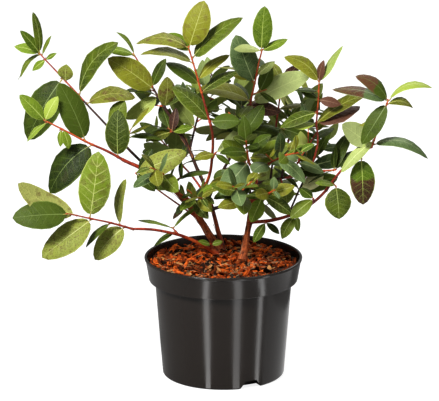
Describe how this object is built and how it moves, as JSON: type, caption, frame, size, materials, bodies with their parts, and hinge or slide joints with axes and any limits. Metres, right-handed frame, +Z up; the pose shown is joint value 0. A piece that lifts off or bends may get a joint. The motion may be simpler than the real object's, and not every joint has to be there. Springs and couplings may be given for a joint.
{
  "type": "potted honeyberry shrub",
  "caption": "Young multi-stemmed honeyberry shrub with open arching shoots and oval leaves, standing in a round black plastic nursery pot topped with bark mulch.",
  "frame": {"origin": "centre of the pot's flat underside, at floor level", "axes": "+Z up, +X to the right and +Y away from the viewer, with the shrub seen from its front"},
  "size_m": [0.4977, 0.3471, 0.4763],
  "materials": {
    "pot_plastic": "semi-gloss moulded black plastic",
    "compost": "moist peat compost",
    "mulch": "chipped conifer bark",
    "stem_bark": "thin red-brown peeling bark",
    "foliage": "waxy green leaves"
  },
  "bodies": {
    "root": {"nursery_pot": "pot_plastic", "root_ball": "compost", "bark_mulch": "mulch", "left_stem": "stem_bark", "tall_stem": "stem_bark", "right_trunk": "stem_bark", "low_left_arm": "stem_bark", "left_arm": "stem_bark", "upper_left_stem": "stem_bark", "red_stem": "stem_bark", "centre_stem": "stem_bark", "right_leader": "stem_bark", "cross_branch": "stem_bark", "right_branch": "stem_bark", "right_reach": "stem_bark", "inner_branch": "stem_bark", "right_upright": "stem_bark", "middle_upright": "stem_bark", "rear_middle_branch": "stem_bark", "rear_left_branch": "stem_bark", "rear_right_branch": "stem_bark", "low_left_spray": "foliage", "left_arm_spray": "foliage", "upper_left_spray": "foliage", "tall_spray": "foliage", "red_spray": "foliage", "centre_spray": "foliage", "leader_spray": "foliage", "cross_spray": "foliage", "left_node_spray": "foliage", "low_arm_spray": "foliage", "basal_sprig": "foliage", "knot_spray": "foliage", "upper_stem_spray": "foliage", "tall_side_spray": "foliage", "red_low_spray": "foliage", "centre_low_spray": "foliage", "leader_low_spray": "foliage", "front_spray": "foliage", "right_foot_spray": "foliage", "right_low_spray": "foliage", "right_knee_spray": "foliage", "right_middle_spray": "foliage", "right_outer_spray": "foliage", "right_tip_spray": "foliage", "inner_low_spray": "foliage", "inner_spray": "foliage", "slant_spray": "foliage", "upright_spray": "foliage", "middle_spray": "foliage", "middle_low_spray": "foliage", "rear_left_spray": "foliage", "rear_middle_spray": "foliage", "rear_right_spray": "foliage", "rear_low_spray": "foliage", "rear_top_spray": "foliage", "rear_outer_spray": "foliage", "front_left_spray": "foliage", "front_right_spray": "foliage"}
  },
  "joints": []
}
